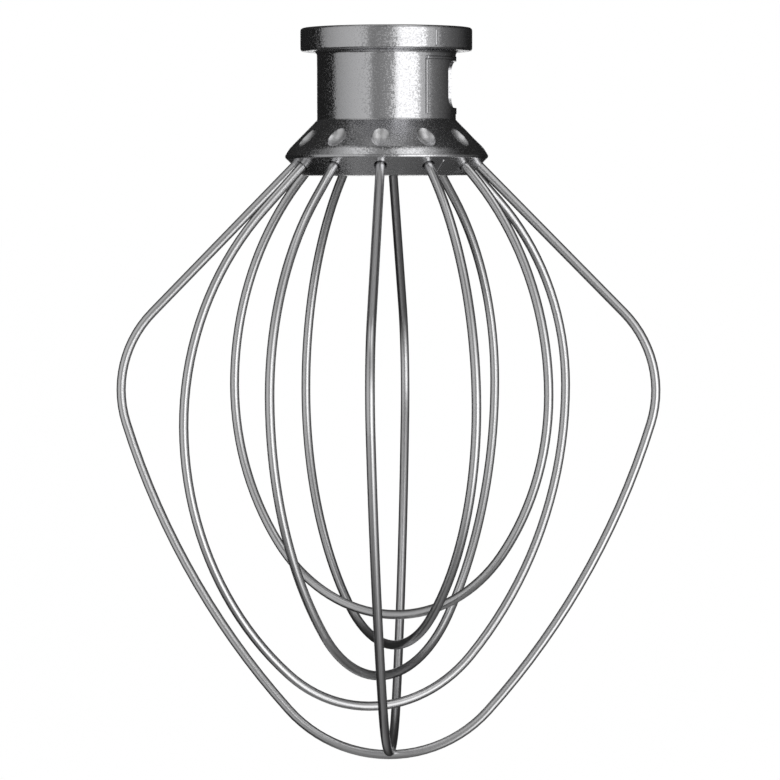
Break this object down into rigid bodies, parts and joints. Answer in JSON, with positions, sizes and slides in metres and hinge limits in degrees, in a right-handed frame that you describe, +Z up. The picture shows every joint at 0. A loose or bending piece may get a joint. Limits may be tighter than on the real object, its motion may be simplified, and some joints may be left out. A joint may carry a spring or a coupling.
{
  "type": "stand mixer wire whisk",
  "caption": "Whisk for a stand mixer: nested bent wire loops staked into a cast hub, whose bore and bayonet window take the mixer's shaft and its cross pin.",
  "frame": {"origin": "middle of the shaft bore's mouth, on the hub's top face", "axes": "+Z up along the mixer's shaft, so the whisk hangs below the origin; +X out through the bayonet window"},
  "size_m": [0.1178, 0.1178, 0.1582],
  "materials": {
    "hub_casting": "die cast and burnished by tumbling",
    "whisk_wire": "drawn stainless wire, polished"
  },
  "bodies": {
    "root": {"hub": "hub_casting", "lower_wide_wire": "whisk_wire", "upper_wide_wire": "whisk_wire", "first_oval_wire": "whisk_wire", "second_oval_wire": "whisk_wire", "third_oval_wire": "whisk_wire", "fourth_oval_wire": "whisk_wire"}
  },
  "joints": []
}
